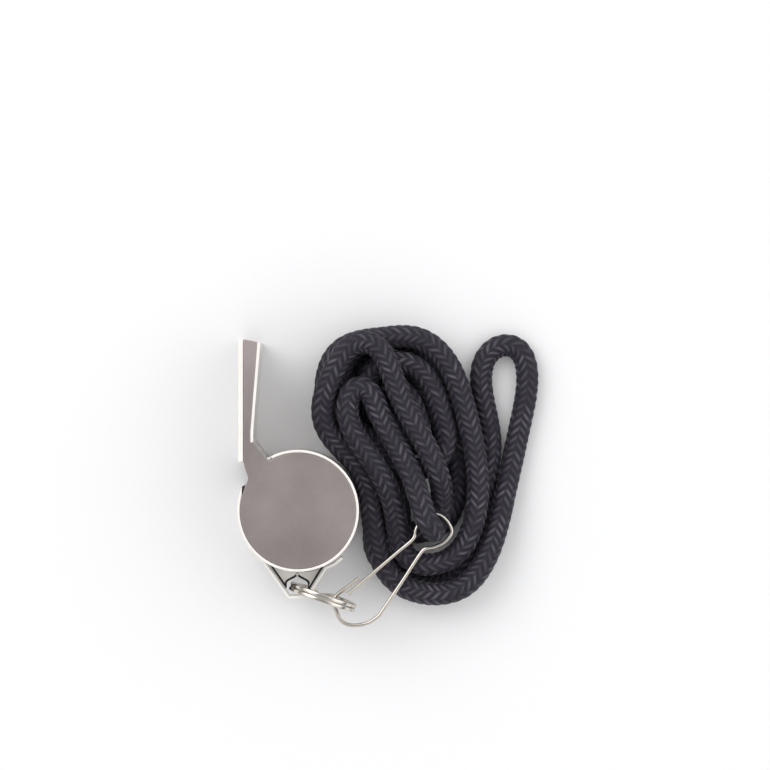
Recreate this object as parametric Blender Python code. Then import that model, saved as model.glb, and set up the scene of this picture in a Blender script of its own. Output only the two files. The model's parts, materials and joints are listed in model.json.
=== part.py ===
"""A pea whistle on a braided lanyard, lying on its rear side plate. Metres, +Z up.

The origin is on the barrel's axis, on the outer face of the rear side plate. The mouthpiece
points along +Y and the lug for the ring hangs below the barrel, along -Y.
"""

import math

import bmesh
import bpy
import numpy as np
from mathutils import Matrix

MM = 0.001

# The barrel, and the window in its wall
DEPTH = 17.0 * MM
BARREL_R = 10.4 * MM
BAND_SHEET = 0.5 * MM
PLATE_SHEET = 0.6 * MM
SOLDER_GAP = 0.05 * MM
BAND_START = math.radians(116.7)
BLADE_AT = math.radians(155.9)
BLADE_GRIND = 1.6 * MM
WINDOW = 4.0 * MM
ARC_STEP = math.radians(6)

# The mouthpiece, measured along it from the roof's end at the window
ROOF_SHEET = 0.9 * MM
ROOF_INSET = 0.2 * MM
MOUTH_LENGTH = 21.15 * MM
MOUTH_TIP_SLANT = 0.2
MOUTH_HEIGHT = 3.8 * MM
THROAT_HEIGHT = 2.6 * MM
THROAT_RISE = 3.4 * MM
THROAT_FOOT = math.radians(120.9)
NOTCH_DEPTH = 0.75 * MM
NOTCH_DROP = 2.65 * MM
NOTCH_SHOULDER = (0.2 * MM, 0.95 * MM)
NOTCH_FOOT = math.radians(154.5)
LEG_INSET = 0.1 * MM

# The wind-way under the roof, measured the same way
SLIT = 0.75 * MM
BLOCK_LENGTH = 5.25 * MM
BLOCK_RAMP = 2.75 * MM
BLOCK_SETBACK = 0.05 * MM

# The pea
PEA_R = 4.75 * MM
PEA_GAP = 0.3 * MM

# The lug's strap: places below the barrel as x and drop, and on its wall as gap and angle
LUG_SHEET = 0.55 * MM
LUG_WIDTH = 5.0 * MM
LUG_Z = 8.5 * MM
LUG_TAB_FROM = math.radians(216.4)
LUG_TAB_TO = math.radians(236)
LUG_BEND = [(-1.7 * MM, 4.6 * MM), (0.95 * MM, 4.45 * MM), (1.95 * MM, 3.9 * MM)]
LUG_HEEL = (0.6 * MM, math.radians(294.7))
LUG_FAR_TAB = [(0.76 * MM, math.radians(303.1)), (0.71 * MM, math.radians(312.4))]

# The web between the strap's legs
WEB_SHEET = 0.6 * MM
WEB_GAP = 0.3 * MM
ARCH_APEX = (-0.3 * MM, 0.9 * MM)
ARCH_HALF = 1.8 * MM
ARCH_HEIGHT = 1.4 * MM
ARCH_STEPS = 8

# The split ring, which hangs in the web's arch
RING_R = 6.0 * MM
RING_WIRE = 1.0 * MM
RING_COIL = 0.7 * MM
RING_COIL_GAP = 0.05 * MM
RING_STEP = math.radians(12)
RING_CROSSING = math.radians(24)
RING_TURN = math.radians(-19.4)
RING_SEAT = (-1.1 * MM, 2.8 * MM)

# The snap hook, bent from one wire: x and y from where it hangs in the ring
WIRE = 0.7 * MM
WIRE_STEP = 1.2 * MM
HOOK_BEND = [
    (1.07, 5.0), (-0.98, 3.45), (-2.83, 2.05), (-3.28, 0.65), (-2.78, -0.85), (-2.18, -2.15),
    (-0.88, -3.0), (0.92, -3.1), (2.72, -2.65), (3.92, -1.85), (4.82, -0.95), (8.47, 4.45),
    (11.62, 9.25), (12.62, 10.1), (14.12, 10.4), (15.92, 11.35), (16.97, 12.87), (16.52, 14.35),
    (15.42, 15.55), (14.32, 15.98),
]
EYE = (13.92 * MM, 13.11 * MM)
EYE_R = 2.9 * MM
HOOK_ENDS_AT = math.radians(108)
GATE_STARTS_AT = math.radians(116)
GATE_STEP = math.radians(20)
GATE_BEND = [(10.82, 13.25), (10.32, 11.73), (7.72, 9.5), (4.72, 6.95), (1.92, 4.55), (-0.83, 2.2)]

# The lanyard: its lower and upper layers and the loops that they're wound in
CORD = 3.4 * MM
FACE_GAP = 0.3 * MM
CORD_STEP = CORD
LINE_STEPS = 24
LOW_Z = 1.75 * MM
HIGH_Z = 5.6 * MM
HANK_TURNS = 5
HANK_STEP = math.radians(15)
HANK_PITCH = 4.35 * MM
HANK_TOP_PITCH = 4.35 * MM
HANK_CENTRE = (17.1 * MM, 13.0 * MM)
HANK_TILT = math.radians(12.7)
HANK_SHEAR = 0.6
HANK_HALF = 12.75 * MM
HANK_TOP = 19.1 * MM
HANK_BOTTOMS = [-14.45 * MM, -4.7 * MM, 9.8 * MM, 10.6 * MM, 6.3 * MM, -10.3 * MM]
HANK_LEAN = 0.9 * MM
HANK_ROUND_TOP = 3.1
HANK_ROUND_BOTTOMS = [2.1, 2.7, 2.1, 2.1, 2.1, 2.1]
HANK_PUSH = 18
HANK_CLIMB = 0.5
BARREL_CLEARANCE = 0.4 * MM
NEIGHBOURS = 2.6
EYE_BEND = 2.65 * MM
EYE_IN = math.radians(121)
EYE_OUT = math.radians(70)

# From the hank's upper end up the left side, round and down to the hook's eye
LEAD_ROUTE = [
    (18.7, -8.9, 5.6), (17.3, -5.6, 5.7), (16.7, -1.5, 6.7), (15.9, 2.2, 8.4), (14.0, 6.3, 9.7),
    (11.5, 10.0, 9.8), (9.0, 13.8, 9.6), (8.2, 17.4, 9.6), (8.8, 20.4, 9.6), (10.8, 21.6, 9.6),
    (12.6, 20.0, 9.6), (13.6, 17.0, 9.6), (15.6, 13.0, 9.7), (17.9, 9.0, 9.9), (19.8, 5.0, 10.5),
    (20.9, 1.4, 11.1),
]
# From the hook's eye over the hank, down its left side, under it and up round the right lobe
LOOP_ROUTE = [
    (24.6, 3.5, 7.0), (24.2, 5.5, 9.0), (23.2, 8.1, 9.9), (21.9, 10.9, 9.9), (20.3, 13.9, 9.9),
    (18.5, 17.0, 9.8), (17.0, 20.4, 9.7), (15.9, 23.6, 9.7), (14.6, 26.8, 9.7), (12.4, 28.9, 9.7),
    (9.8, 29.0, 9.7), (7.6, 27.0, 9.7), (6.0, 23.9, 9.6), (4.6, 20.6, 9.3), (3.9, 17.2, 8.6),
    (4.6, 13.9, 7.9), (7.2, 10.6, 7.2), (10.0, 7.8, 6.6), (11.9, 4.2, 6.1), (12.5, 0.3, 5.8),
    (12.9, -3.8, 5.6), (13.8, -8.3, 5.6), (16.3, -12.4, 5.6), (20.3, -14.4, 5.65),
    (24.4, -14.8, 5.65), (28.4, -13.6, 5.6), (31.2, -10.6, 5.3), (33.2, -6.6, 4.6),
    (34.6, -2.0, 3.8), (35.8, 3.4, 2.8), (37.1, 9.0, 2.0), (38.3, 14.6, 1.75),
    (39.4, 20.0, 1.75), (39.5, 24.4, 1.75), (38.3, 27.7, 1.75), (35.7, 28.6, 1.75),
    (33.0, 27.4, 1.75), (31.5, 24.4, 1.75), (31.6, 20.4, 1.75), (32.5, 16.0, 1.75),
    (33.2, 11.4, 1.75), (32.6, 6.6, 1.75), (31.7, 2.0, 1.75), (30.8, -2.6, 1.75),
    (29.6, -7.0, 1.75), (27.8, -11.2, 1.75),
]

band_inner_r = BARREL_R - BAND_SHEET
plate_r = band_inner_r - SOLDER_GAP
roof_x = ROOF_INSET - BARREL_R
roof_inner_x = roof_x + ROOF_SHEET
window_top_y = BARREL_R * math.sin(BLADE_AT) + WINDOW
throat_top_y = window_top_y + THROAT_RISE


def clear_scene():
    for obj in list(bpy.data.objects):
        bpy.data.objects.remove(obj, do_unlink=True)


def material(name, colour, roughness, metallic):
    made = bpy.data.materials.new(name)
    made.use_nodes = True
    shader = made.node_tree.nodes["Principled BSDF"]
    shader.inputs["Base Color"].default_value = (*colour, 1)
    shader.inputs["Roughness"].default_value = roughness
    shader.inputs["Metallic"].default_value = metallic
    return made


def polar(radius, angle):
    return radius * math.cos(angle), radius * math.sin(angle)


def below_barrel(x, drop):
    return x, -BARREL_R - drop


def on_barrel(gap, angle):
    return polar(BARREL_R + gap, angle)


def arc(radius, start, end, step=ARC_STEP):
    count = max(2, math.ceil(abs(end - start) / step))
    return [polar(radius, start + (end - start) * i / count) for i in range(count + 1)]


def finish(name, mesh, look, origin=(0, 0, 0), turn=0.0):
    mesh.materials.append(look)
    mesh.shade_smooth()
    mesh.set_sharp_from_angle(angle=math.radians(35))
    obj = bpy.data.objects.new(name, mesh)
    obj.location = origin
    obj.rotation_euler.z = turn
    bpy.context.scene.collection.objects.link(obj)
    return obj


def prism(name, outline, low, high, look):
    """A flat outline given counter-clockwise, raised from low to high along Z."""
    shape = bmesh.new()
    bottom = shape.faces.new([shape.verts.new((x, y, low)) for x, y in outline])
    top = bmesh.ops.extrude_face_region(shape, geom=[bottom])
    moved = [part for part in top["geom"] if isinstance(part, bmesh.types.BMVert)]
    bmesh.ops.translate(shape, verts=moved, vec=(0, 0, high - low))
    bmesh.ops.recalc_face_normals(shape, faces=shape.faces)
    mesh = bpy.data.meshes.new(name)
    shape.to_mesh(mesh)
    shape.free()
    return finish(name, mesh, look)


def offset_line(points, distance):
    """The line moved to its left by the distance, with mitred corners."""
    line = np.array(points)
    run = np.diff(line, axis=0)
    run /= np.linalg.norm(run, axis=1)[:, None]
    left = np.column_stack([-run[:, 1], run[:, 0]])
    before = np.vstack([left[:1], left])
    after = np.vstack([left, left[-1:]])
    mitre = before + after
    mitre /= (mitre * after).sum(axis=1)[:, None]
    return [tuple(point) for point in line + distance * mitre]


def strip(points, sheet):
    """The outline of a sheet bent along a centreline."""
    right = offset_line(points, -sheet / 2)
    return right + offset_line(points, sheet / 2)[::-1]


def meeting(start, along, first, second):
    """Where the line from start, heading along, meets the line through two points."""
    x, y = second[0] - first[0], second[1] - first[1]
    reach = (first[0] - start[0]) * y - (first[1] - start[1]) * x
    reach /= along[0] * y - along[1] * x
    return start[0] + along[0] * reach, start[1] + along[1] * reach


def tip_y(x):
    return window_top_y + MOUTH_LENGTH - MOUTH_TIP_SLANT * (x - roof_x)


block_top_y = window_top_y + BLOCK_LENGTH
floor_tip_x = roof_x + MOUTH_HEIGHT
throat_x = roof_x + THROAT_HEIGHT
throat_foot = polar(BARREL_R, THROAT_FOOT)
ring_seat = below_barrel(*RING_SEAT)
ring_reach = polar(2 * RING_R - RING_WIRE, RING_TURN)
hook_seat = (ring_seat[0] + ring_reach[0], ring_seat[1] + ring_reach[1])
eye = (hook_seat[0] + EYE[0], hook_seat[1] + EYE[1])


def floor_line(offset):
    """The floor's outer face from the throat to the tip, moved inwards by the offset."""
    points = [(throat_x, throat_top_y), (throat_x, block_top_y), (floor_tip_x, tip_y(floor_tip_x))]
    moved = offset_line(points, offset)
    end = meeting(moved[1], (moved[2][0] - moved[1][0], moved[2][1] - moved[1][1]),
                  (roof_x, tip_y(roof_x)), (floor_tip_x, tip_y(floor_tip_x)))
    return [moved[0], moved[1], end]


def slant_line(offset):
    """The throat's slanted edge, from its top to the barrel, moved inwards by the offset."""
    return offset_line([throat_foot, (throat_x, throat_top_y)], offset)[::-1]


def side_plate(name, low, look):
    """A disc with the mouthpiece's cheek and the notch beside the window."""
    cheek_left = roof_inner_x + SOLDER_GAP
    cheek_right = floor_line(BAND_SHEET + SOLDER_GAP)
    shoulder_in, shoulder_drop = NOTCH_SHOULDER
    outline = [throat_foot, (throat_x, throat_top_y)]
    outline += [(cheek_right[0][0], throat_top_y + SOLDER_GAP)]
    outline += cheek_right[1:]
    outline += [(cheek_left, tip_y(cheek_left)), (cheek_left, window_top_y)]
    outline += [(cheek_left + shoulder_in, window_top_y - shoulder_drop)]
    outline += [(cheek_left + NOTCH_DEPTH, window_top_y - NOTCH_DROP)]
    outline += arc(plate_r, NOTCH_FOOT, THROAT_FOOT + math.tau)
    return prism(name, outline, low, low + PLATE_SHEET, look)


def barrel_band(look):
    """The barrel's wall, from the throat clockwise round to the blade that splits the air."""
    end = BLADE_AT - math.tau
    grind = end + BLADE_GRIND / BARREL_R
    outline = arc(band_inner_r, BAND_START, grind)
    outline += arc(BARREL_R, end, BAND_START)
    return prism("barrel_band", outline, 0, DEPTH, look)


def mouthpiece_roof(look):
    inner = roof_inner_x
    outline = [(roof_x, window_top_y), (inner, window_top_y)]
    outline += [(inner, tip_y(inner)), (roof_x, tip_y(roof_x))]
    return prism("mouthpiece_roof", outline, 0, DEPTH, look)


def mouthpiece_floor(look):
    """The full-width floor and, between the plates, its leg down the throat to the barrel's wall."""
    outer = floor_line(0)
    outline = outer + floor_line(BAND_SHEET)[::-1]
    floor = prism("mouthpiece_floor", outline, 0, DEPTH, look)
    middle = LEG_INSET + BAND_SHEET / 2
    top = (throat_x - BAND_SHEET / 2, throat_top_y + BAND_SHEET)
    slant = slant_line(middle)
    lip_r = BARREL_R - BAND_SHEET / 2
    lip_end = BAND_START + SOLDER_GAP / lip_r
    lip = arc(lip_r, THROAT_FOOT + LEG_INSET / lip_r, lip_end)
    knee = meeting(slant[0], (slant[1][0] - slant[0][0], slant[1][1] - slant[0][1]), lip[0], lip[1])
    bend = meeting(top, (0, -1), slant[0], slant[1])
    low = PLATE_SHEET + SOLDER_GAP
    leg = prism("floor_leg", strip([top, bend, knee] + lip[1:], BAND_SHEET), low, DEPTH - low, look)
    leg.hide_render = True
    leg.display_type = "WIRE"
    join = floor.modifiers.new("leg", "BOOLEAN")
    join.operation = "UNION"
    join.object = leg
    return floor


def windway_block(look):
    """The wedge that leaves the air a slit under the roof."""
    behind = BAND_SHEET + SOLDER_GAP
    wall = floor_line(behind)
    slant = slant_line(LEG_INSET + behind)
    corner = meeting(wall[0], (0, 1), slant[0], slant[1])
    end_y = window_top_y + BLOCK_SETBACK
    foot = meeting((0, end_y), (1, 0), slant[0], slant[1])
    slit_x = roof_inner_x + SLIT
    outline = [(slit_x, window_top_y + BLOCK_RAMP), (slit_x, end_y)]
    outline += [foot, corner, (wall[1][0], block_top_y)]
    low = PLATE_SHEET + SOLDER_GAP
    return prism("windway_block", outline, low, DEPTH - low, look)


def cork_pea(look):
    """The ball, resting on the rear plate and against the barrel's wall."""
    orbit = band_inner_r - PEA_GAP - PEA_R
    seat = (0, -orbit, PLATE_SHEET + PEA_GAP + PEA_R)
    shape = bmesh.new()
    bmesh.ops.create_icosphere(shape, subdivisions=3, radius=PEA_R, matrix=Matrix.Translation(seat))
    mesh = bpy.data.meshes.new("cork_pea")
    shape.to_mesh(mesh)
    shape.free()
    return finish("cork_pea", mesh, look)


def lug_line():
    """The strap's centreline: a tab on the barrel, the left leg, the foot, the right leg, a tab."""
    tab = arc(BARREL_R + SOLDER_GAP + LUG_SHEET / 2, LUG_TAB_FROM, LUG_TAB_TO)
    bend = [below_barrel(*place) for place in LUG_BEND]
    return tab + bend + [on_barrel(*place) for place in [LUG_HEEL, *LUG_FAR_TAB]]


def lug_strap(look):
    outline = strip(lug_line(), LUG_SHEET)
    return prism("lug_strap", outline, LUG_Z - LUG_WIDTH / 2, LUG_Z + LUG_WIDTH / 2, look)


def lug_web(look):
    """The plate between the strap's legs, with a pointed arch that the ring hangs in."""
    first_leg = [on_barrel(SOLDER_GAP + LUG_SHEET / 2, LUG_TAB_TO), below_barrel(*LUG_BEND[0])]
    second_leg = [below_barrel(*LUG_BEND[-1]), on_barrel(*LUG_HEEL)]
    apart = LUG_SHEET / 2 + WEB_GAP
    left = offset_line(first_leg, apart)
    right = offset_line(second_leg, apart)
    wall = BARREL_R + SOLDER_GAP
    left_at = circle_crossing(left, wall)
    right_at = circle_crossing(right, wall)
    apex = below_barrel(*ARCH_APEX)
    spring_left = (apex[0] - ARCH_HALF, apex[1] - ARCH_HEIGHT)
    spring_right = (apex[0] + ARCH_HALF, apex[1] - ARCH_HEIGHT)
    foot_left = meeting(spring_left, (0, -1), *left)
    foot_right = meeting(spring_right, (0, -1), *right)
    outline = arc(wall, right_at, left_at) + [foot_left]
    outline += ogee(spring_left, apex) + ogee(spring_right, apex)[::-1][1:] + [foot_right]
    return prism("lug_web", outline, LUG_Z - WEB_SHEET / 2, LUG_Z + WEB_SHEET / 2, look)


def circle_crossing(line, radius):
    """The polar angle, from 180 to 360 degrees, at which a line crosses the barrel's wall."""
    (x0, y0), (x1, y1) = line
    dx, dy = x1 - x0, y1 - y0
    a, b, c = dx * dx + dy * dy, 2 * (x0 * dx + y0 * dy), x0 * x0 + y0 * y0 - radius * radius
    root = math.sqrt(b * b - 4 * a * c)
    reach = min(((-b - root) / (2 * a), (-b + root) / (2 * a)), key=lambda t: abs(t - 0.5))
    return math.atan2(y0 + dy * reach, x0 + dx * reach) % math.tau


def ogee(spring, apex):
    """Half of a pointed arch, bulging out low down and curving in to its point."""
    side = []
    for rise in np.linspace(0, 1, ARCH_STEPS + 1):
        inward = 0.5 - 0.5 * math.cos(math.pi * rise)
        side.append((spring[0] + (apex[0] - spring[0]) * inward, spring[1] + (apex[1] - spring[1]) * rise))
    return side


def split_ring(look):
    """Two turns of flat wire, which cross from one layer to the other over a short stretch."""
    layer = (RING_COIL + RING_COIL_GAP) / 2
    middle_r = RING_R - RING_WIRE / 2
    half = RING_CROSSING / 2
    count = round((2 * math.tau - 2 * half) / RING_STEP)
    shape = bmesh.new()
    rows = []
    for i in range(count + 1):
        turn = half + (2 * math.tau - 2 * half) * i / count
        crossed = min(1, max(0, (turn - math.tau + half) / RING_CROSSING))
        axial = layer * (2 * crossed - 1)
        corners = [(-1, -1), (1, -1), (1, 1), (-1, 1)]
        row = []
        for out, side in corners:
            radius = middle_r + out * RING_WIRE / 2
            x, z = polar(radius, turn - math.pi / 2)
            row.append(shape.verts.new((middle_r + x, axial + side * RING_COIL / 2, z)))
        rows.append(row)
    for near, far in zip(rows, rows[1:]):
        for i in range(4):
            shape.faces.new([near[i], near[(i + 1) % 4], far[(i + 1) % 4], far[i]])
    shape.faces.new(rows[0])
    shape.faces.new(rows[-1])
    bmesh.ops.recalc_face_normals(shape, faces=shape.faces)
    mesh = bpy.data.meshes.new("split_ring")
    shape.to_mesh(mesh)
    shape.free()
    return finish("split_ring", mesh, look, (*ring_seat, LUG_Z), RING_TURN)


def smooth_line(points, step):
    """A curve through the points, read off at an even step."""
    line = np.array(points, float)
    ends = np.vstack([2 * line[0] - line[1], line, 2 * line[-1] - line[-2]])
    fine = []
    for a, b, c, d in zip(ends, ends[1:], ends[2:], ends[3:]):
        for t in np.linspace(0, 1, LINE_STEPS, endpoint=False):
            fine.append(0.5 * (2 * b + (c - a) * t + (2 * a - 5 * b + 4 * c - d) * t**2
                               + (3 * b - a - 3 * c + d) * t**3))
    fine.append(line[-1])
    fine = np.array(fine)
    run = np.concatenate([[0], np.cumsum(np.linalg.norm(np.diff(fine, axis=0), axis=1))])
    count = max(2, round(run[-1] / step))
    even = np.linspace(0, run[-1], count + 1)
    return np.column_stack([np.interp(even, run, fine[:, i]) for i in range(3)])


def tube(name, points, diameter, sides, origin, look):
    """A round bar along the points, closed at both ends. Sides 1 gives six flats and 2 gives eight."""
    curve = bpy.data.curves.new(name, "CURVE")
    curve.dimensions = "3D"
    curve.bevel_depth = diameter / 2
    curve.bevel_resolution = sides
    curve.use_fill_caps = True
    spline = curve.splines.new("POLY")
    spline.points.add(len(points) - 1)
    for place, point in zip(spline.points, points):
        place.co = (*(np.array(point) - origin), 1)
    curve.materials.append(look)
    obj = bpy.data.objects.new(name, curve)
    obj.location = origin
    bpy.context.scene.collection.objects.link(obj)
    return obj


def level(points):
    """Places on the hook's wire, given in millimetres from where it hangs."""
    return [(hook_seat[0] + x * MM, hook_seat[1] + y * MM, LUG_Z) for x, y in points]


def eye_point(angle):
    x, y = polar(EYE_R, angle)
    return eye[0] + x, eye[1] + y, LUG_Z


def snap_hook(look):
    route = smooth_line(level(HOOK_BEND) + [eye_point(HOOK_ENDS_AT)], WIRE_STEP)
    return tube("snap_hook", route, WIRE, 2, (*hook_seat, LUG_Z), look)


def snap_gate(look):
    start = eye_point(GATE_STARTS_AT)
    arch = [eye_point(GATE_STARTS_AT + GATE_STEP * i) for i in range(3)]
    route = smooth_line(arch + level(GATE_BEND), WIRE_STEP)
    return tube("snap_gate", route, WIRE, 2, start, look)


def signed_power(value, power):
    return math.copysign(abs(value) ** power, value)


def ease(value):
    value = min(1, max(0, value))
    return value * value * (3 - 2 * value)


def hank_point(turn):
    """One point of the wound cord: loops spiral in, climb a layer over the top and spiral out."""
    angle = -math.pi / 2 - math.tau * turn
    across, along = math.cos(angle), math.sin(angle)
    loop = min(turn, HANK_TURNS - turn)
    inward = HANK_PITCH * loop
    climb = ease((turn - HANK_TURNS / 2) / HANK_CLIMB + 0.5)
    if along > 0:
        reach = HANK_TOP - HANK_TOP_PITCH * loop
        power = 2 / HANK_ROUND_TOP
    else:
        reach = HANK_CENTRE[1] - HANK_BOTTOMS[round(turn)]
        power = 2 / HANK_ROUND_BOTTOMS[round(turn)]
    u = (HANK_HALF - inward) * signed_power(across, power)
    v = reach * signed_power(along, power)
    x = HANK_CENTRE[0] + u * math.cos(HANK_TILT) - v * math.sin(HANK_TILT) + HANK_LEAN * climb
    y = HANK_CENTRE[1] + HANK_SHEAR * u * math.sin(HANK_TILT) + v * math.cos(HANK_TILT)
    near = math.hypot(x, y)
    keep = BARREL_R + CORD / 2 + BARREL_CLEARANCE + inward + HANK_LEAN * climb
    pushed = (near**HANK_PUSH + keep**HANK_PUSH) ** (1 / HANK_PUSH) / near
    return x * pushed, y * pushed, LOW_Z + (HIGH_Z - LOW_Z) * climb


def hank_route():
    count = round(HANK_TURNS * math.tau / HANK_STEP)
    return np.array([hank_point(turn) for turn in np.linspace(0, HANK_TURNS, count + 1)])


def heading(first, second):
    run = np.array(second) - np.array(first)
    return run / np.linalg.norm(run)


def eye_route():
    """The cord's bend through the hook's eye: over its wire, down through it and out below."""
    over, under = [], []
    for i in range(5):
        sweep = math.pi / 2 * i / 4
        x, y = polar(EYE_BEND * (1 - math.sin(sweep)), EYE_IN)
        over.append((eye[0] + x, eye[1] + y, LUG_Z + EYE_BEND * math.cos(sweep)))
        x, y = polar(EYE_BEND * (1 - math.cos(sweep)), EYE_OUT)
        under.append((eye[0] + x, eye[1] + y, LUG_Z - EYE_BEND * math.sin(sweep)))
    return over + under[1:]


def square_ended(start, start_run, route, end, end_run, step):
    """A smooth line whose first and last stretches run straight, so that its faces meet others squarely."""
    stub = CORD / 2
    inner = smooth_line([start + stub * start_run, *route, end - stub * end_run], step)
    return np.vstack([start, inner, end])


def lead_route(hank):
    """From the hank's upper end to the eye, and through it."""
    begun = heading(hank[-2], hank[-1])
    out = np.array((math.cos(EYE_OUT), math.sin(EYE_OUT), 0))
    bend = eye_route()
    route = [np.array(place) * MM for place in LEAD_ROUTE] + bend[:-1]
    return square_ended(hank[-1] + FACE_GAP * begun, begun, route, bend[-1] + CORD / 2 * out, out, CORD_STEP / 2)


def loop_route(hank, lead):
    """From below the eye over the hank and round to the hank's lower end."""
    begun = heading(lead[-2], lead[-1])
    ended = heading(hank[0], hank[1])
    route = [np.array(place) * MM for place in LOOP_ROUTE]
    return square_ended(lead[-1] + FACE_GAP * begun, begun, route, hank[0] - FACE_GAP * ended, ended, CORD_STEP)


def print_least_gap(routes):
    """The least gap between two stretches of the cord that aren't next to each other."""
    line = smooth_line(np.vstack(routes), CORD / 4)
    run = np.concatenate([[0], np.cumsum(np.linalg.norm(np.diff(line, axis=0), axis=1))])
    apart = np.linalg.norm(line[:, None] - line[None], axis=2)
    between = np.abs(run[:, None] - run[None])
    between = np.minimum(between, run[-1] - between)
    apart[between < NEIGHBOURS * CORD] = 1
    first, second = np.unravel_index(apart.argmin(), apart.shape)
    gap = (apart[first, second] - CORD) / MM
    at = (line[first] / MM).round(1), (line[second] / MM).round(1)
    print(f"lanyard: {run[-1] / MM:.0f} mm long, least gap to itself {gap:.2f} mm at {at[0]} and {at[1]}")
    barrel = np.hypot(line[:, 0], line[:, 1]).min()
    print(f"lanyard: least gap to the barrel {(barrel - BARREL_R - CORD / 2) / MM:.2f} mm")


def hang(child, parent):
    """Parents a piece without moving it."""
    child.parent = parent
    child.matrix_parent_inverse = parent.matrix_world.inverted()


def main():
    clear_scene()
    chrome = material("chromed_brass", (0.62, 0.57, 0.55), 0.16, 1.0)
    satin = material("chromed_rim", (0.78, 0.76, 0.75), 0.22, 1.0)
    steel = material("plated_wire", (0.72, 0.71, 0.70), 0.2, 1.0)
    cork = material("cork", (0.45, 0.27, 0.13), 0.85, 0.0)
    braid = material("black_braid", (0.035, 0.032, 0.045), 0.7, 0.0)

    front = side_plate("front_plate", DEPTH - PLATE_SHEET, chrome)
    rear = side_plate("rear_plate", 0, chrome)
    band = barrel_band(satin)
    fixed = [front, rear, mouthpiece_roof(satin), mouthpiece_floor(satin), windway_block(chrome)]
    fixed += [lug_strap(satin), lug_web(satin)]
    pea = cork_pea(cork)
    ring = split_ring(steel)
    hook = snap_hook(steel)
    gate = snap_gate(steel)

    hank = hank_route()
    lead = lead_route(hank)
    loop = loop_route(hank, lead)
    pivot = (*eye, LUG_Z)
    cords = [tube("lanyard_hank", hank, CORD, 1, pivot, braid)]
    cords += [tube("lanyard_lead", lead, CORD, 2, pivot, braid)]
    cords += [tube("lanyard_loop", loop, CORD, 2, pivot, braid)]
    print_least_gap([hank, lead, loop])

    bpy.context.view_layer.update()
    for piece in fixed + [pea, ring]:
        hang(piece, band)
    hang(hook, ring)
    for piece in [gate] + cords:
        hang(piece, hook)


main()
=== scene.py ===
import json
import math

import bmesh
import bpy
import numpy as np
from mathutils import Matrix, Vector, noise


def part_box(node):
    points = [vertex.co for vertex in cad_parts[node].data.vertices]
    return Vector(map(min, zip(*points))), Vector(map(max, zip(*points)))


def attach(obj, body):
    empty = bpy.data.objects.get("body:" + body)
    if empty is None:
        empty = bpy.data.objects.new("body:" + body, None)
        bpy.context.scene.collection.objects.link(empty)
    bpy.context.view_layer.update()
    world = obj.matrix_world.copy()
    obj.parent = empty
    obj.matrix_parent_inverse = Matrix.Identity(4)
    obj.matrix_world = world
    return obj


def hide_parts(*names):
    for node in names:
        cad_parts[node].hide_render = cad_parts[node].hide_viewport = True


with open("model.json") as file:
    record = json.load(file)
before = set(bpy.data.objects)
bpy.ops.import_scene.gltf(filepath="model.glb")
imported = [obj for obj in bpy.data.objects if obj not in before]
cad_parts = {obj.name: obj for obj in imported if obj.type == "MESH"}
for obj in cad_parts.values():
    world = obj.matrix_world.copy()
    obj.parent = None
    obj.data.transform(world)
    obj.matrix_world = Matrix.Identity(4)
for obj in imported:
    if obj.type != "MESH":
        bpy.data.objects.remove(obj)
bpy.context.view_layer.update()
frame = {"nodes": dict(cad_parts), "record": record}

mm = 0.001
lugZ = 8.5 * mm


# The camera looks straight down on the front plate, as far off as a product photograph is taken
cameraSettings = {
    "over": (14.8 * mm, 21.4 * mm),
    "height": 700 * mm,
    "plateZ": 17 * mm,
    "width": 130.9 * mm,
    "sensor": 36,
    "near": 0.01,
    "far": 20,
}


def addCamera():
    s = cameraSettings
    data = bpy.data.cameras.new("camera")
    data.sensor_width = s["sensor"]
    data.lens = s["sensor"] * (s["height"] - s["plateZ"]) / s["width"]
    data.clip_start = s["near"]
    data.clip_end = s["far"]
    camera = bpy.data.objects.new("camera", data)
    camera.location = (*s["over"], s["height"])
    bpy.context.scene.collection.objects.link(camera)
    bpy.context.scene.camera = camera


# A curve through the points, read off at an even step; a closed one ends on its first point
def smoothLine(points, step, closed=False):
    parts = 24  # straight pieces between two points
    line = np.array(points, float)
    before, after = (line[-2], line[1]) if closed else (2 * line[0] - line[1], 2 * line[-1] - line[-2])
    ends = np.vstack([before, line, after])
    fine = []
    for a, b, c, d in zip(ends, ends[1:], ends[2:], ends[3:]):
        for t in np.linspace(0, 1, parts, endpoint=False):
            bend = (2 * a - 5 * b + 4 * c - d) * t**2 + (3 * b - a - 3 * c + d) * t**3
            fine.append(0.5 * (2 * b + (c - a) * t + bend))
    fine.append(line[-1])
    fine = np.array(fine)
    run = np.concatenate([[0], np.cumsum(np.linalg.norm(np.diff(fine, axis=0), axis=1))])
    even = np.linspace(0, run[-1], max(2, round(run[-1] / step)) + 1)
    return np.column_stack([np.interp(even, run, fine[:, i]) for i in range(3)])


def ease(value):
    value = min(1, max(0, value))
    return value * value * (3 - 2 * value)


def signedPower(value, power):
    return math.copysign(abs(value) ** power, value)


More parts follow.
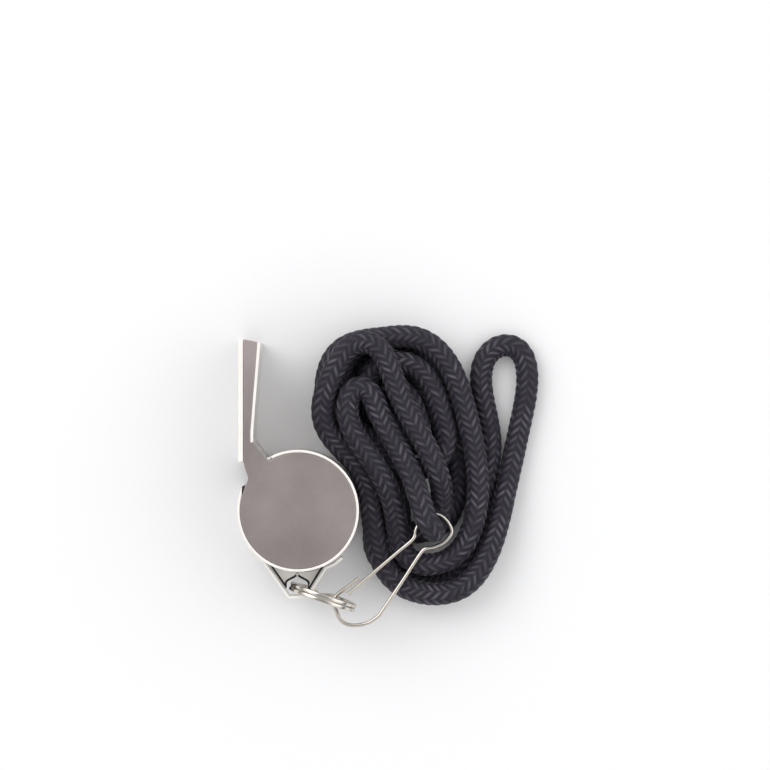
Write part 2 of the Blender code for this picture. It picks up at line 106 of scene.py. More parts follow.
# The lanyard: five wound loops in two layers, a lead to the hook's eye and a long outer loop.
# Places and sizes of the route are in millimetres
lanyard = {
    "length": 591 * mm,
    "diameter": 3.4 * mm,
    "lowZ": 1.75,
    "highZ": 5.6,
    "turns": 5,
    "turnPoints": 24,
    "pitch": 4.35,
    "topPitch": 4.35,
    "centre": (17.1, 13.0),
    "tilt": math.radians(12.7),
    "shear": 0.6,
    "half": 12.75,
    "top": 19.1,
    "bottoms": [-14.45, -4.7, 9.8, 10.6, 6.3, -10.3],
    "lean": 0.9,
    "roundTop": 3.1,
    "roundBottoms": [2.1, 2.7, 2.1, 2.1, 2.1, 2.1],
    "push": 18,
    "keepOff": 12.5,  # how far the lowest loop stays off the barrel's axis
    "climb": 0.5,  # turns taken to climb from one layer to the next
    "eye": (23.2, -3.74, 8.5),
    "eyeBend": 2.65,
    "eyePoints": 5,
    "eyeIn": math.radians(121),
    "eyeOut": math.radians(70),
    "lead": [
        (18.7, -8.9, 5.6), (17.3, -5.6, 5.7), (16.7, -1.5, 6.7), (15.9, 2.2, 8.4), (14.0, 6.3, 9.7),
        (11.5, 10.0, 9.8), (9.0, 13.8, 9.6), (8.2, 17.4, 9.6), (8.8, 20.4, 9.6), (10.8, 21.6, 9.6),
        (12.6, 20.0, 9.6), (13.6, 17.0, 9.6), (15.6, 13.0, 9.7), (17.9, 9.0, 9.9), (19.8, 5.0, 10.5),
        (20.9, 1.4, 11.1),
    ],
    "loop": [
        (24.6, 3.5, 7.0), (24.2, 5.5, 9.0), (23.2, 8.1, 9.9), (21.9, 10.9, 9.9), (20.3, 13.9, 9.9),
        (18.5, 17.0, 9.8), (17.0, 20.4, 9.7), (15.9, 23.6, 9.7), (14.6, 26.8, 9.7), (12.4, 28.9, 9.7),
        (9.8, 29.0, 9.7), (7.6, 27.0, 9.7), (6.0, 23.9, 9.6), (4.6, 20.6, 9.3), (3.9, 17.2, 8.6),
        (4.6, 13.9, 7.9), (7.2, 10.6, 7.2), (10.0, 7.8, 6.6), (11.9, 4.2, 6.1), (12.5, 0.3, 5.8),
        (12.9, -3.8, 5.6), (13.8, -8.3, 5.6), (16.3, -12.4, 5.6), (20.3, -14.4, 5.65),
        (24.4, -14.8, 5.65), (28.4, -13.6, 5.6), (31.2, -10.6, 5.3), (33.2, -6.6, 4.6),
        (34.6, -2.0, 3.8), (35.8, 3.4, 2.8), (37.1, 9.0, 2.0), (38.3, 14.6, 1.75),
        (39.4, 20.0, 1.75), (39.5, 24.4, 1.75), (38.3, 27.7, 1.75), (35.7, 28.6, 1.75),
        (33.0, 27.4, 1.75), (31.5, 24.4, 1.75), (31.6, 20.4, 1.75), (32.5, 16.0, 1.75),
        (33.2, 11.4, 1.75), (32.6, 6.6, 1.75), (31.7, 2.0, 1.75), (30.8, -2.6, 1.75),
        (29.6, -7.0, 1.75), (27.8, -11.2, 1.75),
    ],
    "columns": 8,  # slanted yarns side by side around the cord
    "columnPoints": 4,
    "ringStep": 0.205 * mm,
    "relaxStep": 1.0 * mm,  # kinks are evened out over this length
    "relaxTimes": 5,
    "stitch": 1.42 * mm,
    "slant": 1.0,  # how far a yarn climbs across its column, in stitches
    "fat": 0.86,  # the share of a stitch that its yarn fills
    "wobble": 0.14,  # how unevenly the yarns lie, in stitches
    "wobbleAlong": 0.9,  # radians for each stitch
    "wobbleAround": 2.4,  # radians for each column
    "columnRound": 0.75,
    "valley": 1.74 * mm,
    "crown": 2.0 * mm,
    "lowest": 0.0,  # the cord is pressed flat where it lies on the table
    # The yarns' crowns get the colour as a painted highlight and the creases between them the valley
    # colour as painted shade
    "colour": (0.098, 0.089, 0.109),
    "paintedValleyShade": (0.0170, 0.0142, 0.0235),
    "dullest": 0.45,
    "brightest": 1.35,
    "roughness": 0.6,
    "specular": 0.3,
    "sheen": 0.04,
    "sheenRoughness": 0.4,
    "bumpDepth": 0.05 * mm,
    "bump": 0.5,
    "stroke": 0.3,  # half the width of the lit part of a yarn, in stitches
    "filaments": 8.0,
    "filamentDepth": 0.45,
    "crownPower": 1.3,
    "highlightPatches": 0.3,  # patches where the painted highlight on the yarns is weaker, per stitch
    "highlightPatchGain": 2.6,
    "highlightPatchFrom": -0.5,
    "highlightPatchRange": (0.5, 1.1),
    "pathEvery": 5,
}


# One point of the wound part: loops spiral in, climb a layer over the top and spiral out
def hankPoint(turn):
    s = lanyard
    angle = -math.pi / 2 - math.tau * turn
    across, along = math.cos(angle), math.sin(angle)
    loop = min(turn, s["turns"] - turn)
    inward = s["pitch"] * loop
    climb = ease((turn - s["turns"] / 2) / s["climb"] + 0.5)
    if along > 0:
        reach = s["top"] - s["topPitch"] * loop
        power = 2 / s["roundTop"]
    else:
        reach = s["centre"][1] - s["bottoms"][round(turn)]
        power = 2 / s["roundBottoms"][round(turn)]
    u = (s["half"] - inward) * signedPower(across, power)
    v = reach * signedPower(along, power)
    x = s["centre"][0] + u * math.cos(s["tilt"]) - v * math.sin(s["tilt"]) + s["lean"] * climb
    y = s["centre"][1] + s["shear"] * u * math.sin(s["tilt"]) + v * math.cos(s["tilt"])
    near = math.hypot(x, y)
    keep = s["keepOff"] + inward + s["lean"] * climb
    pushed = (near ** s["push"] + keep ** s["push"]) ** (1 / s["push"]) / near
    return x * pushed, y * pushed, s["lowZ"] + (s["highZ"] - s["lowZ"]) * climb


# Over the hook's wire, down through its eye and out below
def eyeRoute():
    s = lanyard
    x, y, z = s["eye"]
    over, under = [], []
    for sweep in np.linspace(0, math.pi / 2, s["eyePoints"]):
        out = s["eyeBend"] * (1 - math.sin(sweep))
        over.append((x + out * math.cos(s["eyeIn"]), y + out * math.sin(s["eyeIn"]),
                     z + s["eyeBend"] * math.cos(sweep)))
        out = s["eyeBend"] * (1 - math.cos(sweep))
        under.append((x + out * math.cos(s["eyeOut"]), y + out * math.sin(s["eyeOut"]),
                      z - s["eyeBend"] * math.sin(sweep)))
    return over + under[1:]


# The closed line of the whole cord, from below the hook's eye round to the same place
def lanyardRoute():
    s = lanyard
    hank = [hankPoint(i / s["turnPoints"]) for i in range(s["turns"] * s["turnPoints"] + 1)]
    through = eyeRoute()
    last = np.array(through[-1])
    out = np.array((math.cos(s["eyeOut"]), math.sin(s["eyeOut"]), 0))
    start = last + out * s["diameter"] / 2 / mm
    loose = smoothLine(np.array([start, *s["loop"], *hank, *s["lead"]]) * mm, s["relaxStep"])
    for _ in range(s["relaxTimes"]):
        loose[1:-1] = 0.5 * loose[1:-1] + 0.25 * (loose[:-2] + loose[2:])
    return smoothLine(np.vstack([loose, np.array(through) * mm, loose[:1]]), s["ringStep"], closed=True)


# How high the yarns stand, from 0 in a crease to 1 on a crown: along in stitches, around in turns
def braidRelief(along, around):
    s = lanyard
    column = np.floor(around * s["columns"])
    across = around * s["columns"] - column - 0.5
    way = 1 - 2 * (column % 2)
    uneven = s["wobble"] * np.sin(s["wobbleAlong"] * along + s["wobbleAround"] * column)
    phase = along - way * across * s["slant"] + uneven
    off = phase - np.round(phase)
    ridge = np.sqrt(np.clip(1 - (2 * off / s["fat"]) ** 2, 0, 1))
    domed = np.sqrt(np.clip(1 - s["columnRound"] * (2 * across) ** 2, 0, 1))
    return ridge * domed


def roundCurve(name, line, diameter, resolution):
    curve = bpy.data.curves.new(name, "CURVE")
    curve.dimensions = "3D"
    curve.bevel_depth = diameter / 2
    curve.bevel_resolution = resolution
    spline = curve.splines.new("POLY")
    spline.points.add(len(line) - 1)
    spline.points.foreach_set("co", np.column_stack([line, np.ones(len(line))]).ravel())
    return curve


# A closed tube round the line: a bevel has two sides for each step of its resolution, and four more
def roundLoop(line, sides):
    curve = roundCurve("lanyard_line", line, lanyard["diameter"], sides // 2 - 2)
    curve.splines[0].use_cyclic_u = True
    plain = bpy.data.objects.new("lanyard_line", curve)
    bpy.context.scene.collection.objects.link(plain)
    bpy.context.view_layer.update()
    mesh = bpy.data.meshes.new_from_object(plain.evaluated_get(bpy.context.evaluated_depsgraph_get()))
    bpy.data.objects.remove(plain)
    mesh.name = "lanyard_braid"
    return mesh


# The braid's own map: U counts stitches along the cord and V counts turns around it
def mapBraid(mesh, rings, sides, stitches):
    corners = np.zeros(len(mesh.loops), int)
    mesh.loops.foreach_get("vertex_index", corners)
    corners = corners.reshape(-1, 4)
    places = []
    for value, count in ((corners // sides, rings), (corners % sides, sides)):
        wrapped = value.max(axis=1, keepdims=True) - value > count / 2
        places.append((value + wrapped * count) / count)
    places[0] *= stitches
    for old in list(mesh.uv_layers):
        mesh.uv_layers.remove(old)
    layer = mesh.uv_layers.new(name="braid")
    layer.uv.foreach_set("vector", np.stack(places, axis=2).astype(np.float32).ravel())


def makeLanyard():
    s = lanyard
    route = lanyardRoute()
    length = float(np.linalg.norm(np.diff(route, axis=0), axis=1).sum())
    line = route[:-1]
    sides = s["columns"] * s["columnPoints"]
    mesh = roundLoop(line, sides)
    tube = np.zeros(len(mesh.vertices) * 3)
    mesh.vertices.foreach_get("co", tube)
    tube = tube.reshape(len(line), sides, 3)
    stitches = round(length / s["stitch"])
    along = np.arange(len(line))[:, None] * stitches / len(line)
    around = np.arange(sides)[None, :] / sides
    height = braidRelief(along, around)
    outward = tube - line[:, None, :]
    outward /= np.linalg.norm(outward, axis=2)[:, :, None]
    radius = s["valley"] + (s["crown"] - s["valley"]) * height
    tube = line[:, None, :] + outward * radius[:, :, None]
    tube[:, :, 2] = np.maximum(tube[:, :, 2], s["lowest"])
    mesh.vertices.foreach_set("co", tube.ravel())
    mapBraid(mesh, len(line), sides, stitches)
    mesh.shade_smooth()
    mesh.materials.append(braidMaterial())
    piece = bpy.data.objects.new("lanyard_braid", mesh)
    bpy.context.scene.collection.objects.link(piece)
    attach(piece, "lanyard")
    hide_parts("lanyard_hank", "lanyard_lead", "lanyard_loop")
    print(f"lanyard: {length / mm:.0f} mm, {len(mesh.polygons)} faces")


def newMaterial(name):
    made = bpy.data.materials.new(name)
    made.use_nodes = True
    tree = made.node_tree
    return made, tree, tree.nodes["Principled BSDF"]


def addNode(tree, kind, inputs=(), **settings):
    node = tree.nodes.new(kind)
    for key, value in settings.items():
        setattr(node, key, value)
    for label, value in inputs:
        node.inputs[label].default_value = value
    return node


def addMath(tree, operation, first, second=0.0, third=0.0):
    node = tree.nodes.new("ShaderNodeMath")
    node.operation = operation
    for socket, value in zip(node.inputs, (first, second, third)):
        if isinstance(value, (int, float)):
            socket.default_value = value
        else:
            tree.links.new(value, socket)
    return node.outputs[0]


# A colour between two colours, each given as a value or as a socket
def addMix(tree, factor, first, second):
    node = tree.nodes.new("ShaderNodeMix")
    node.data_type = "RGBA"
    for socket, value in ((node.inputs[0], factor), (node.inputs[6], first), (node.inputs[7], second)):
        if isinstance(value, bpy.types.NodeSocket):
            tree.links.new(value, socket)
        elif isinstance(value, (int, float)):
            socket.default_value = value
        else:
            socket.default_value = (*value, 1)
    return node.outputs[2]


def addBump(tree, shader, height, distance, strength):
    bump = tree.nodes.new("ShaderNodeBump")
    bump.inputs["Distance"].default_value = distance
    bump.inputs["Strength"].default_value = strength
    tree.links.new(height, bump.inputs["Height"])
    tree.links.new(bump.outputs[0], shader.inputs["Normal"])


# An empty shader group with named sockets, and its input and output nodes
def makeGroup(name, inputs, outputs):
    tree = bpy.data.node_groups.new(name, "ShaderNodeTree")
    for label, kind in inputs:
        tree.interface.new_socket(label, in_out="INPUT", socket_type=kind)
    for label, kind in outputs:
        tree.interface.new_socket(label, in_out="OUTPUT", socket_type=kind)
    return tree, tree.nodes.new("NodeGroupInput"), tree.nodes.new("NodeGroupOutput")


def useGroup(tree, group, **values):
    node = tree.nodes.new("ShaderNodeGroup")
    node.node_tree = group
    for key, value in values.items():
        if isinstance(value, bpy.types.NodeSocket):
            tree.links.new(value, node.inputs[key])
        else:
            node.inputs[key].default_value = value
    return node


# The yarns of the braid, from the cord's own map: crowns, which carry the painted highlight, filaments and
# a tone for each stitch
def braidGroup():
    tree, entry, leave = makeGroup(
        "braid_yarns",
        [("UV", "NodeSocketVector"), ("Columns", "NodeSocketFloat"), ("Slant", "NodeSocketFloat"),
         ("Wobble", "NodeSocketFloat"), ("Along", "NodeSocketFloat"), ("Around", "NodeSocketFloat"),
         ("Width", "NodeSocketFloat"), ("Round", "NodeSocketFloat"), ("Filaments", "NodeSocketFloat")],
        [("Crown", "NodeSocketFloat"), ("Height", "NodeSocketFloat"), ("Shade", "NodeSocketFloat")],
    )
    split = tree.nodes.new("ShaderNodeSeparateXYZ")
    tree.links.new(entry.outputs["UV"], split.inputs[0])
    around = addMath(tree, "MULTIPLY", split.outputs[1], entry.outputs["Columns"])
    column = addMath(tree, "FLOOR", around)
    across = addMath(tree, "SUBTRACT", addMath(tree, "FRACT", around), 0.5)
    way = addMath(tree, "MULTIPLY_ADD", addMath(tree, "MODULO", column, 2.0), -2.0, 1.0)
    lean = addMath(tree, "MULTIPLY", addMath(tree, "MULTIPLY", way, across), entry.outputs["Slant"])
    wave = addMath(tree, "MULTIPLY_ADD", split.outputs[0], entry.outputs["Along"],
                   addMath(tree, "MULTIPLY", column, entry.outputs["Around"]))
    uneven = addMath(tree, "MULTIPLY", addMath(tree, "SINE", wave), entry.outputs["Wobble"])
    phase = addMath(tree, "ADD", addMath(tree, "SUBTRACT", split.outputs[0], lean), uneven)
    stitch = addMath(tree, "ROUND", phase)
    off = addMath(tree, "DIVIDE", addMath(tree, "SUBTRACT", phase, stitch), entry.outputs["Width"])
    ridge = addMath(tree, "SUBTRACT", 1.0, addMath(tree, "POWER", addMath(tree, "ABSOLUTE", off), 2.0))
    ends = addMath(tree, "POWER", addMath(tree, "ABSOLUTE", addMath(tree, "MULTIPLY", across, 2.0)), 3.0)
    fall = addMath(tree, "MULTIPLY", ends, entry.outputs["Round"])
    crown = addMath(tree, "MULTIPLY", ridge, addMath(tree, "SUBTRACT", 1.0, fall))
    tree.links.new(addMath(tree, "MAXIMUM", crown, 0.0), leave.inputs["Crown"])
    turned = addMath(tree, "MULTIPLY", phase, entry.outputs["Filaments"])
    turned = addMath(tree, "SINE", addMath(tree, "MULTIPLY", turned, math.tau))
    tree.links.new(addMath(tree, "MULTIPLY_ADD", turned, 0.5, 0.5), leave.inputs["Height"])
    cell = tree.nodes.new("ShaderNodeCombineXYZ")
    tree.links.new(stitch, cell.inputs[0])
    tree.links.new(column, cell.inputs[1])
    chance = addNode(tree, "ShaderNodeTexWhiteNoise", noise_dimensions="3D")
    tree.links.new(cell.outputs[0], chance.inputs["Vector"])
    tree.links.new(chance.outputs["Value"], leave.inputs["Shade"])
    return tree


def braidMaterial():
    s = lanyard
    made, tree, shader = newMaterial("black_braid_weave")
    uv = addNode(tree, "ShaderNodeUVMap", uv_map="braid")
    yarn = useGroup(tree, braidGroup(), UV=uv.outputs[0], Columns=float(s["columns"]), Slant=s["slant"],
                    Wobble=s["wobble"], Along=s["wobbleAlong"], Around=s["wobbleAround"],
                    Width=s["stroke"], Round=s["columnRound"], Filaments=s["filaments"])
    dull, bright = ([c * share for c in s["colour"]] for share in (s["dullest"], s["brightest"]))
    strand = addMix(tree, yarn.outputs["Shade"], dull, bright)
    thread = addMath(tree, "MULTIPLY_ADD", yarn.outputs["Height"], s["filamentDepth"],
                     1 - s["filamentDepth"])
    # Cloudy patches that weaken the painted highlight on the crowns
    highlightPatches = addNode(tree, "ShaderNodeTexNoise", [("Scale", s["highlightPatches"])])
    tree.links.new(uv.outputs[0], highlightPatches.inputs["Vector"])
    crisp = addMath(tree, "MULTIPLY_ADD", highlightPatches.outputs[0], s["highlightPatchGain"], s["highlightPatchFrom"])
    crisp = addMath(tree, "MINIMUM", crisp, s["highlightPatchRange"][1])
    crisp = addMath(tree, "MAXIMUM", crisp, s["highlightPatchRange"][0])
    # Painted light: the crowns get the strand colour as a painted highlight, the creases the dark valley
    # colour as painted shade
    lit = addMath(tree, "POWER", yarn.outputs["Crown"], s["crownPower"])
    lit = addMath(tree, "MULTIPLY", addMath(tree, "MULTIPLY", lit, thread), crisp)
    tree.links.new(addMix(tree, lit, s["paintedValleyShade"], strand), shader.inputs["Base Color"])
    shader.inputs["Roughness"].default_value = s["roughness"]
    shader.inputs["Specular IOR Level"].default_value = s["specular"]
    shader.inputs["Sheen Weight"].default_value = s["sheen"]
    shader.inputs["Sheen Roughness"].default_value = s["sheenRoughness"]
    addBump(tree, shader, yarn.outputs["Height"], s["bumpDepth"], s["bump"])
    return made


# Nickel plate has a fine grain and a soft bloom. Both patterns lie about 0.5, so what they add up to
# starts below zero
plating = {
    "fineDetail": 3,
    "cloudDetail": 4,
    "fineTone": 0.7,
    "cloudTone": 2.2,
    "toneFrom": -0.95,
    "fineRough": 0.08,
    "cloudRough": 0.16,
    "roughFrom": -0.08,
    "bumpDepth": 0.02 * mm,
}


def plateGroup():
    s = plating
    tree, entry, leave = makeGroup(
        "plating",
        [("Place", "NodeSocketVector"), ("Grain", "NodeSocketFloat"), ("Bloom", "NodeSocketFloat")],
        [("Tone", "NodeSocketFloat"), ("Roughness", "NodeSocketFloat"), ("Height", "NodeSocketFloat")],
    )
    fine = addNode(tree, "ShaderNodeTexNoise", [("Detail", s["fineDetail"])])
    cloud = addNode(tree, "ShaderNodeTexNoise", [("Detail", s["cloudDetail"])])
    for texture, scale in ((fine, "Grain"), (cloud, "Bloom")):
        tree.links.new(entry.outputs["Place"], texture.inputs["Vector"])
        tree.links.new(entry.outputs[scale], texture.inputs["Scale"])
    for label, cloudShare, fineShare, lowest in (
        ("Tone", s["cloudTone"], s["fineTone"], s["toneFrom"]),
        ("Roughness", s["cloudRough"], s["fineRough"], s["roughFrom"]),
    ):
        grain = addMath(tree, "MULTIPLY_ADD", fine.outputs[0], fineShare, lowest)
        both = addMath(tree, "MULTIPLY_ADD", cloud.outputs[0], cloudShare, grain)
        tree.links.new(both, leave.inputs[label])
    tree.links.new(fine.outputs[0], leave.inputs["Height"])
    return tree


# Each finish: its lightest colour and the share of it left where it is dull, and its patterns' scales
metals = {
    "satin_plate": {"colour": (0.66, 0.58, 0.57), "dull": 0.76, "metallic": 1.0, "roughness": 0.3,
                    "grain": 5200.0, "bloom": 62.0, "bump": 0.12},
    "bright_sheet": {"colour": (0.80, 0.765, 0.73), "dull": 0.9, "metallic": 1.0, "roughness": 0.14,
                     "grain": 2600.0, "bloom": 210.0, "bump": 0.06},
    # Painted highlight: a near-white, mostly non-metallic copy of the sheet for faces toward the camera or
    # the table
    "painted_highlight_face": {"colour": (0.95, 0.915, 0.87), "dull": 0.9, "metallic": 0.25, "roughness": 0.42,
                    "grain": 4200.0, "bloom": 420.0, "bump": 0.2},
    # Painted shade: near black, for the shadowed gaps between the lug's web and the strap's legs
    "painted_gap_shade": {"colour": (0.07, 0.06, 0.06), "dull": 0.6, "metallic": 1.0, "roughness": 0.5,
                  "grain": 4200.0, "bloom": 900.0, "bump": 0.2},
    "bright_wire": {"colour": (0.72, 0.68, 0.62), "dull": 0.9, "metallic": 1.0, "roughness": 0.16,
                    "grain": 2600.0, "bloom": 300.0, "bump": 0.05},
}


def metalMaterial(name):
    s = metals[name]
    made, tree, shader = newMaterial(name)
    place = tree.nodes.new("ShaderNodeTexCoord")
    plate = useGroup(tree, platingGroup, Place=place.outputs["Object"], Grain=s["grain"], Bloom=s["bloom"])
    dull = [c * s["dull"] for c in s["colour"]]
    tree.links.new(addMix(tree, plate.outputs["Tone"], dull, s["colour"]), shader.inputs["Base Color"])
    rough = addMath(tree, "ADD", plate.outputs["Roughness"], s["roughness"])
    tree.links.new(rough, shader.inputs["Roughness"])
    shader.inputs["Metallic"].default_value = s["metallic"]
    addBump(tree, shader, plate.outputs["Height"], plating["bumpDepth"], s["bump"])
    return made


# Pieces of sheet: the imported shape with its edges rounded over; faces toward the camera or table get a
# painted highlight
sheets = {
    "front_plate": {
        "name": "front_sheet", "round": 0.07 * mm, "metal": "satin_plate", "slot": "side_plate",
    },
    "rear_plate": {
        "name": "rear_sheet", "round": 0.07 * mm, "metal": "satin_plate", "slot": "side_plate",
    },
    "barrel_band": {
        "name": "band_sheet", "round": 0.18 * mm, "metal": "bright_sheet", "slot": "sheet",
    },
    "mouthpiece_roof": {
        "name": "roof_sheet", "round": 0.28 * mm, "metal": "bright_sheet", "slot": "sheet",
    },
    "mouthpiece_floor": {
        "name": "floor_sheet", "round": 0.18 * mm, "metal": "bright_sheet", "slot": "sheet",
    },
    "windway_block": {
        "name": "windway_wedge", "round": 0.05 * mm, "metal": "satin_plate", "slot": "side_plate",
    },
    "lug_strap": {
        "name": "lug_strip", "round": 0.18 * mm, "metal": "bright_sheet", "slot": "sheet",
    },
    "lug_web": {
        "name": "lug_plate", "round": 0.08 * mm, "metal": "bright_sheet", "slot": "sheet",
        # A sunk border of painted shade round the web, grown out over the shadowed gaps to the strap's
        # legs
        "shadeRim": {
            "wide": 0.3 * mm, "deep": 0.1 * mm, "spread": 0.2 * mm, "hole": (-0.3 * mm, -13.0 * mm, lugZ),
        },
    },
}
rounding = {
    "merge": 0.001 * mm,
    "flat": math.radians(0.8),
    "corner": math.radians(20),
    "crease": math.radians(30),
    "segments": 3,
    "upright": 0.3,  # a face stands upright below this Z of its normal
    "facing": 0.5,  # and faces the camera or the table above this one
    "level": 0.99,
    "agree": 0.9,  # the least length of the summed normals where they don't cancel out
}


# A mesh from the shape, smooth but for edges that bend more than the crease
def finishMesh(shape, name, crease=math.pi):
    mesh = bpy.data.meshes.new(name)
    shape.to_mesh(mesh)
    shape.free()
    mesh.shade_smooth()
    mesh.set_sharp_from_angle(angle=crease)
    return mesh


def placePiece(piece, node):
    bpy.context.scene.collection.objects.link(piece)
    body = next(name for name, nodes in frame["record"]["behaviour"]["bodies"].items() if node in nodes)
    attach(piece, body)
    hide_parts(node)
    return piece


# Sinks a border round both faces, reaches out to the strap's legs and says which faces get painted shade
# for the shadowed gaps
def darkenRim(shape, shadeRim):
    shape.normal_update()
    for vert in shape.verts:
        upright = [face.normal for face in vert.link_faces if abs(face.normal.z) < rounding["upright"]]
        outward = sum(upright, Vector())
        if outward.length > rounding["agree"] and outward.dot(Vector(shadeRim["hole"]) - vert.co) < 0:
            vert.co += outward.normalized() * shadeRim["spread"]
    flat = [face for face in shape.faces if abs(face.normal.z) > rounding["level"]]
    made = bmesh.ops.inset_region(shape, faces=flat, thickness=shadeRim["wide"], depth=-shadeRim["deep"],
                                  use_boundary=True)
    rim = set(made["faces"])
    rim.update(face for face in shape.faces if abs(face.normal.z) <= rounding["level"])
    return [face in rim for face in shape.faces]


def roundedSheet(node):
    s = sheets[node]
    shape = bmesh.new()
    shape.from_mesh(frame["nodes"][node].data)
    bmesh.ops.remove_doubles(shape, verts=shape.verts, dist=rounding["merge"])
    bmesh.ops.dissolve_limit(shape, angle_limit=rounding["flat"], verts=shape.verts, edges=shape.edges)
    sharp = [edge for edge in shape.edges if edge.calc_face_angle(0) > rounding["corner"]]
    bmesh.ops.bevel(shape, geom=sharp, offset=s["round"], segments=rounding["segments"], profile=0.5,
                    affect="EDGES", material=-1, clamp_overlap=True)
    # The lug web's sunk border and side walls are marked for painted shade
    shadeFaces = darkenRim(shape, s["shadeRim"]) if "shadeRim" in s else [False] * len(shape.faces)
    mesh = finishMesh(shape, s["name"], rounding["crease"])
    mesh.materials.clear()
    mesh.materials.append(materials[s["metal"]])
    if s["slot"] == "sheet":
        mesh.materials.append(materials["painted_highlight_face"])
        mesh.materials.append(materials["painted_gap_shade"])
        for face, isShaded in zip(mesh.polygons, shadeFaces):
            # Faces toward the camera or the table get the painted highlight; the web's border gets the
            # painted shade
            face.material_index = 2 if isShaded else int(abs(face.normal.z) > rounding["facing"])
    piece = placePiece(bpy.data.objects.new(s["name"], mesh), node)
    even = piece.modifiers.new("even_normals", "WEIGHTED_NORMAL")
    even.keep_sharp = True


# The split ring: two turns of flat wire, with a short crossing from layer to layer
ring = {
    "radius": 6.0 * mm,
    "wire": 1.0 * mm,
    "coil": 0.7 * mm,
    "gap": 0.05 * mm,
    "corner": 0.16 * mm,
    "cornerSegments": 3,
    "crease": math.radians(40),
    "crossing": math.radians(24),
    "step": math.radians(3),
    "turn": math.radians(-19.4),
    "seat": (-1.1 * mm, -13.2 * mm),
}


def makeRing():
    s = ring
    middle = s["radius"] - s["wire"] / 2
    layer = (s["coil"] + s["gap"]) / 2
    shape = bmesh.new()
    bmesh.ops.create_grid(shape, x_segments=1, y_segments=1, size=0.5)
    bmesh.ops.scale(shape, vec=(s["wire"], s["coil"], 1), verts=shape.verts)
    bmesh.ops.bevel(shape, geom=shape.verts[:], offset=s["corner"], segments=s["cornerSegments"],
                    profile=0.5, affect="VERTICES", material=-1)
    bmesh.ops.translate(shape, vec=(middle, -layer, 0), verts=shape.verts)
    start = s["crossing"] / 2 - math.pi / 2
    bmesh.ops.rotate(shape, matrix=Matrix.Rotation(-start, 3, "Y"), verts=shape.verts)
    flat = math.tau - s["crossing"]
    last = shape.verts[:] + shape.edges[:] + shape.faces[:]
    for sweep, rise in ((flat, 0), (s["crossing"], 2 * layer), (flat, 0)):
        steps = round(sweep / s["step"])
        made = bmesh.ops.spin(shape, geom=last, cent=(0, 0, 0), axis=(0, -1, 0), angle=sweep, steps=steps,
                              dvec=(0, rise / steps, 0), use_duplicate=False)
        last = made["geom_last"]
    bmesh.ops.recalc_face_normals(shape, faces=shape.faces)
    bmesh.ops.translate(shape, vec=(middle, 0, 0), verts=shape.verts)
    place = Matrix.Translation((*s["seat"], lugZ)) @ Matrix.Rotation(s["turn"], 4, "Z")
    bmesh.ops.transform(shape, matrix=place, verts=shape.verts)
    mesh = finishMesh(shape, "ring_coil", s["crease"])
    mesh.materials.append(materials["bright_wire"])
    placePiece(bpy.data.objects.new("ring_coil", mesh), "split_ring")


# The hook and its sprung arm: x and y in millimetres from where the hook hangs in the ring
wire = {
    "diameter": 0.7 * mm,
    "step": 0.3 * mm,
    "seat": (9.276, -16.854),
    "eyeRadius": 2.9,
    "resolution": 6,
    "hook": [
        (1.07, 5.0), (-0.98, 3.45), (-2.83, 2.05), (-3.28, 0.65), (-2.78, -0.85), (-2.18, -2.15),
        (-0.88, -3.0), (0.92, -3.1), (2.72, -2.65), (3.92, -1.85), (4.82, -0.95), (8.47, 4.45),
        (11.62, 9.25), (12.62, 10.1), (14.12, 10.4), (15.92, 11.35), (16.97, 12.87), (16.52, 14.35),
        (15.42, 15.55), (14.32, 15.98),
    ],
    "hookEnd": [math.radians(108)],
    "gateStart": [math.radians(116), math.radians(136), math.radians(156)],
    "gate": [(10.82, 13.25), (10.32, 11.73), (7.72, 9.5), (4.72, 6.95), (1.92, 4.55), (-0.83, 2.2)],
}


def eyePlaces(angles):
    x, y, _ = lanyard["eye"]
    return [(x + wire["eyeRadius"] * math.cos(a), y + wire["eyeRadius"] * math.sin(a)) for a in angles]


def bentPlaces(bends):
    return [(wire["seat"][0] + x, wire["seat"][1] + y) for x, y in bends]


def makeWire(name, node, places):
    line = smoothLine([(x * mm, y * mm, lugZ) for x, y in places], wire["step"])
    curve = roundCurve(name, line, wire["diameter"], wire["resolution"])
    curve.use_fill_caps = True
    curve.splines[0].use_smooth = True
    curve.materials.append(materials["bright_wire"])
    placePiece(bpy.data.objects.new(name, curve), node)


# The pea: a cork ball with pits and darker flecks
cork = {
    "colour": (0.46, 0.27, 0.13),
    "fleck": (0.16, 0.075, 0.03),
    "fleckScale": 1440,
    "fleckAbove": 0.58,
    "grainScale": 900,
    "roughness": 0.85,
    "bumpDepth": 0.05 * mm,
    "bump": 0.6,
    "subdivisions": 5,
    "pitScale": 1080,
    "pitAbove": 0.15,
    "pitDepth": 0.12 * mm,
}


def corkMaterial():
    made, tree, shader = newMaterial("cork_grain")
    place = tree.nodes.new("ShaderNodeTexCoord")
    grain = addNode(tree, "ShaderNodeTexVoronoi", [("Scale", cork["grainScale"])])
    speck = addNode(tree, "ShaderNodeTexNoise", [("Scale", cork["fleckScale"])])
    for texture in (grain, speck):
        tree.links.new(place.outputs["Object"], texture.inputs["Vector"])
    dark = addMath(tree, "GREATER_THAN", speck.outputs[0], cork["fleckAbove"])
    tree.links.new(addMix(tree, dark, cork["colour"], cork["fleck"]), shader.inputs["Base Color"])
    shader.inputs["Roughness"].default_value = cork["roughness"]
    addBump(tree, shader, grain.outputs["Distance"], cork["bumpDepth"], cork["bump"])
    return made


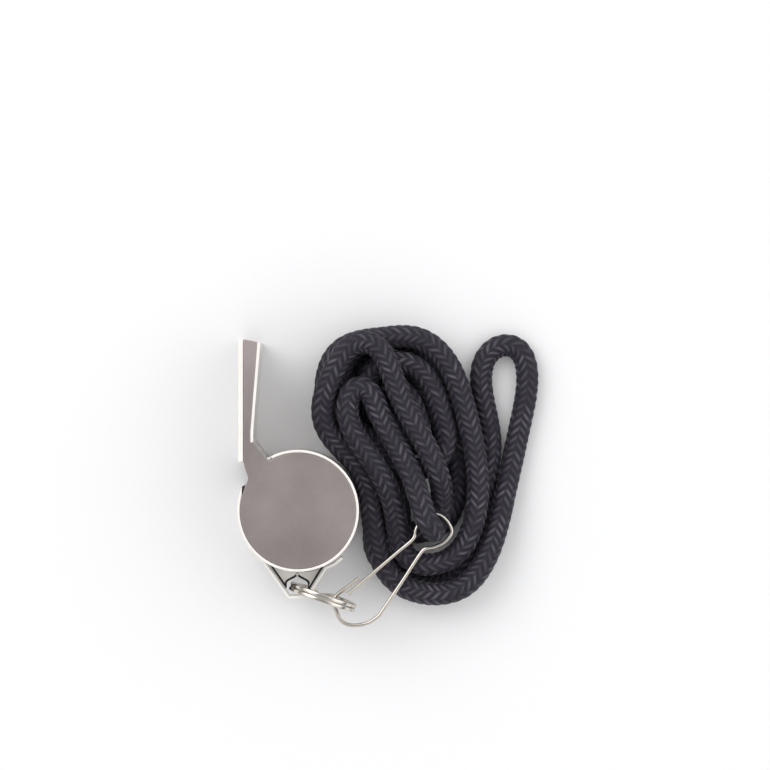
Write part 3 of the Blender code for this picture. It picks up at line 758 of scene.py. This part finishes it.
def makePea():
    low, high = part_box("cork_pea")
    middle = (low + high) / 2
    shape = bmesh.new()
    bmesh.ops.create_icosphere(shape, subdivisions=cork["subdivisions"], radius=(high.x - low.x) / 2,
                               matrix=Matrix.Translation(middle))
    for vert in shape.verts:
        pit = max(0, noise.noise(vert.co * cork["pitScale"]) - cork["pitAbove"])
        vert.co -= (vert.co - middle).normalized() * pit * cork["pitDepth"]
    mesh = finishMesh(shape, "cork_ball")
    mesh.materials.append(corkMaterial())
    placePiece(bpy.data.objects.new("cork_ball", mesh), "cork_pea")


studio = {
    "floor": (0.83, 0.83, 0.84),
    "floorSize": 3,
    "floorRoughness": 0.9,
    "floorDrop": 0.02 * mm,
    "background": (0.91, 0.91, 0.915),
    "fill": 0.9,
    "mirrored": [(0.12, 0.2), (0.4, 1.0), (0.74, 1.0), (0.9, 0.36)],  # height in the sky and grey
    "aim": (0.015, 0.01, 0),
    "lamps": [
        {"at": (-0.55, 0.5, 0.75), "size": 0.9, "power": 4.0},
        {"at": (0.7, 0.15, 0.5), "size": 1.2, "power": 2.0},
    ],
}


def makeFloor():
    shape = bmesh.new()
    bmesh.ops.create_grid(shape, x_segments=1, y_segments=1, size=studio["floorSize"])
    mesh = finishMesh(shape, "floor")
    made, tree, shader = newMaterial("floor_paint")
    shader.inputs["Base Color"].default_value = (*studio["floor"], 1)
    shader.inputs["Roughness"].default_value = studio["floorRoughness"]
    mesh.materials.append(made)
    floor = bpy.data.objects.new("floor", mesh)
    floor.location.z = -studio["floorDrop"]
    bpy.context.scene.collection.objects.link(floor)


# Even fill light. Mirrors see a dim zenith, pale sides and a dark horizon, as in a studio tent
def makeWorld():
    world = bpy.data.worlds.new("studio")
    world.use_nodes = True
    bpy.context.scene.world = world
    tree = world.node_tree
    background = tree.nodes["Background"]
    place = tree.nodes.new("ShaderNodeTexCoord")
    split = tree.nodes.new("ShaderNodeSeparateXYZ")
    tree.links.new(place.outputs["Generated"], split.inputs[0])
    ramp = tree.nodes.new("ShaderNodeValToRGB")
    ramp.color_ramp.interpolation = "EASE"
    while len(ramp.color_ramp.elements) < len(studio["mirrored"]):
        ramp.color_ramp.elements.new(0.5)
    for element, (height, grey) in zip(ramp.color_ramp.elements, studio["mirrored"]):
        element.position = height
        element.color = (grey, grey, grey, 1)
    tree.links.new(split.outputs[2], ramp.inputs[0])
    light = tree.nodes.new("ShaderNodeLightPath")
    fill = [studio["fill"]] * 3
    tone = addMix(tree, light.outputs["Is Glossy Ray"], fill, ramp.outputs[0])
    tone = addMix(tree, light.outputs["Is Camera Ray"], tone, studio["background"])
    tree.links.new(tone, background.inputs["Color"])


def makeLamps():
    for i, lamp in enumerate(studio["lamps"]):
        data = bpy.data.lights.new(f"lamp_{i}", "AREA")
        data.shape = "DISK"
        data.size = lamp["size"]
        data.energy = lamp["power"]
        made = bpy.data.objects.new(f"lamp_{i}", data)
        made.location = lamp["at"]
        made.rotation_mode = "QUATERNION"
        made.rotation_quaternion = (Vector(studio["aim"]) - Vector(lamp["at"])).to_track_quat("-Z", "Y")
        bpy.context.scene.collection.objects.link(made)


bpy.context.scene.view_settings.view_transform = "Standard"
addCamera()
makeLanyard()
platingGroup = plateGroup()
materials = {name: metalMaterial(name) for name in metals}
for nodeName in sheets:
    roundedSheet(nodeName)
print("sheets done")
makeRing()
makeWire("hook_wire", "snap_hook", bentPlaces(wire["hook"]) + eyePlaces(wire["hookEnd"]))
makeWire("gate_wire", "snap_gate", eyePlaces(wire["gateStart"]) + bentPlaces(wire["gate"]))
print("ring and hook done")
makePea()
makeFloor()
makeWorld()
makeLamps()
print("studio done")

bpy.context.view_layer.update()
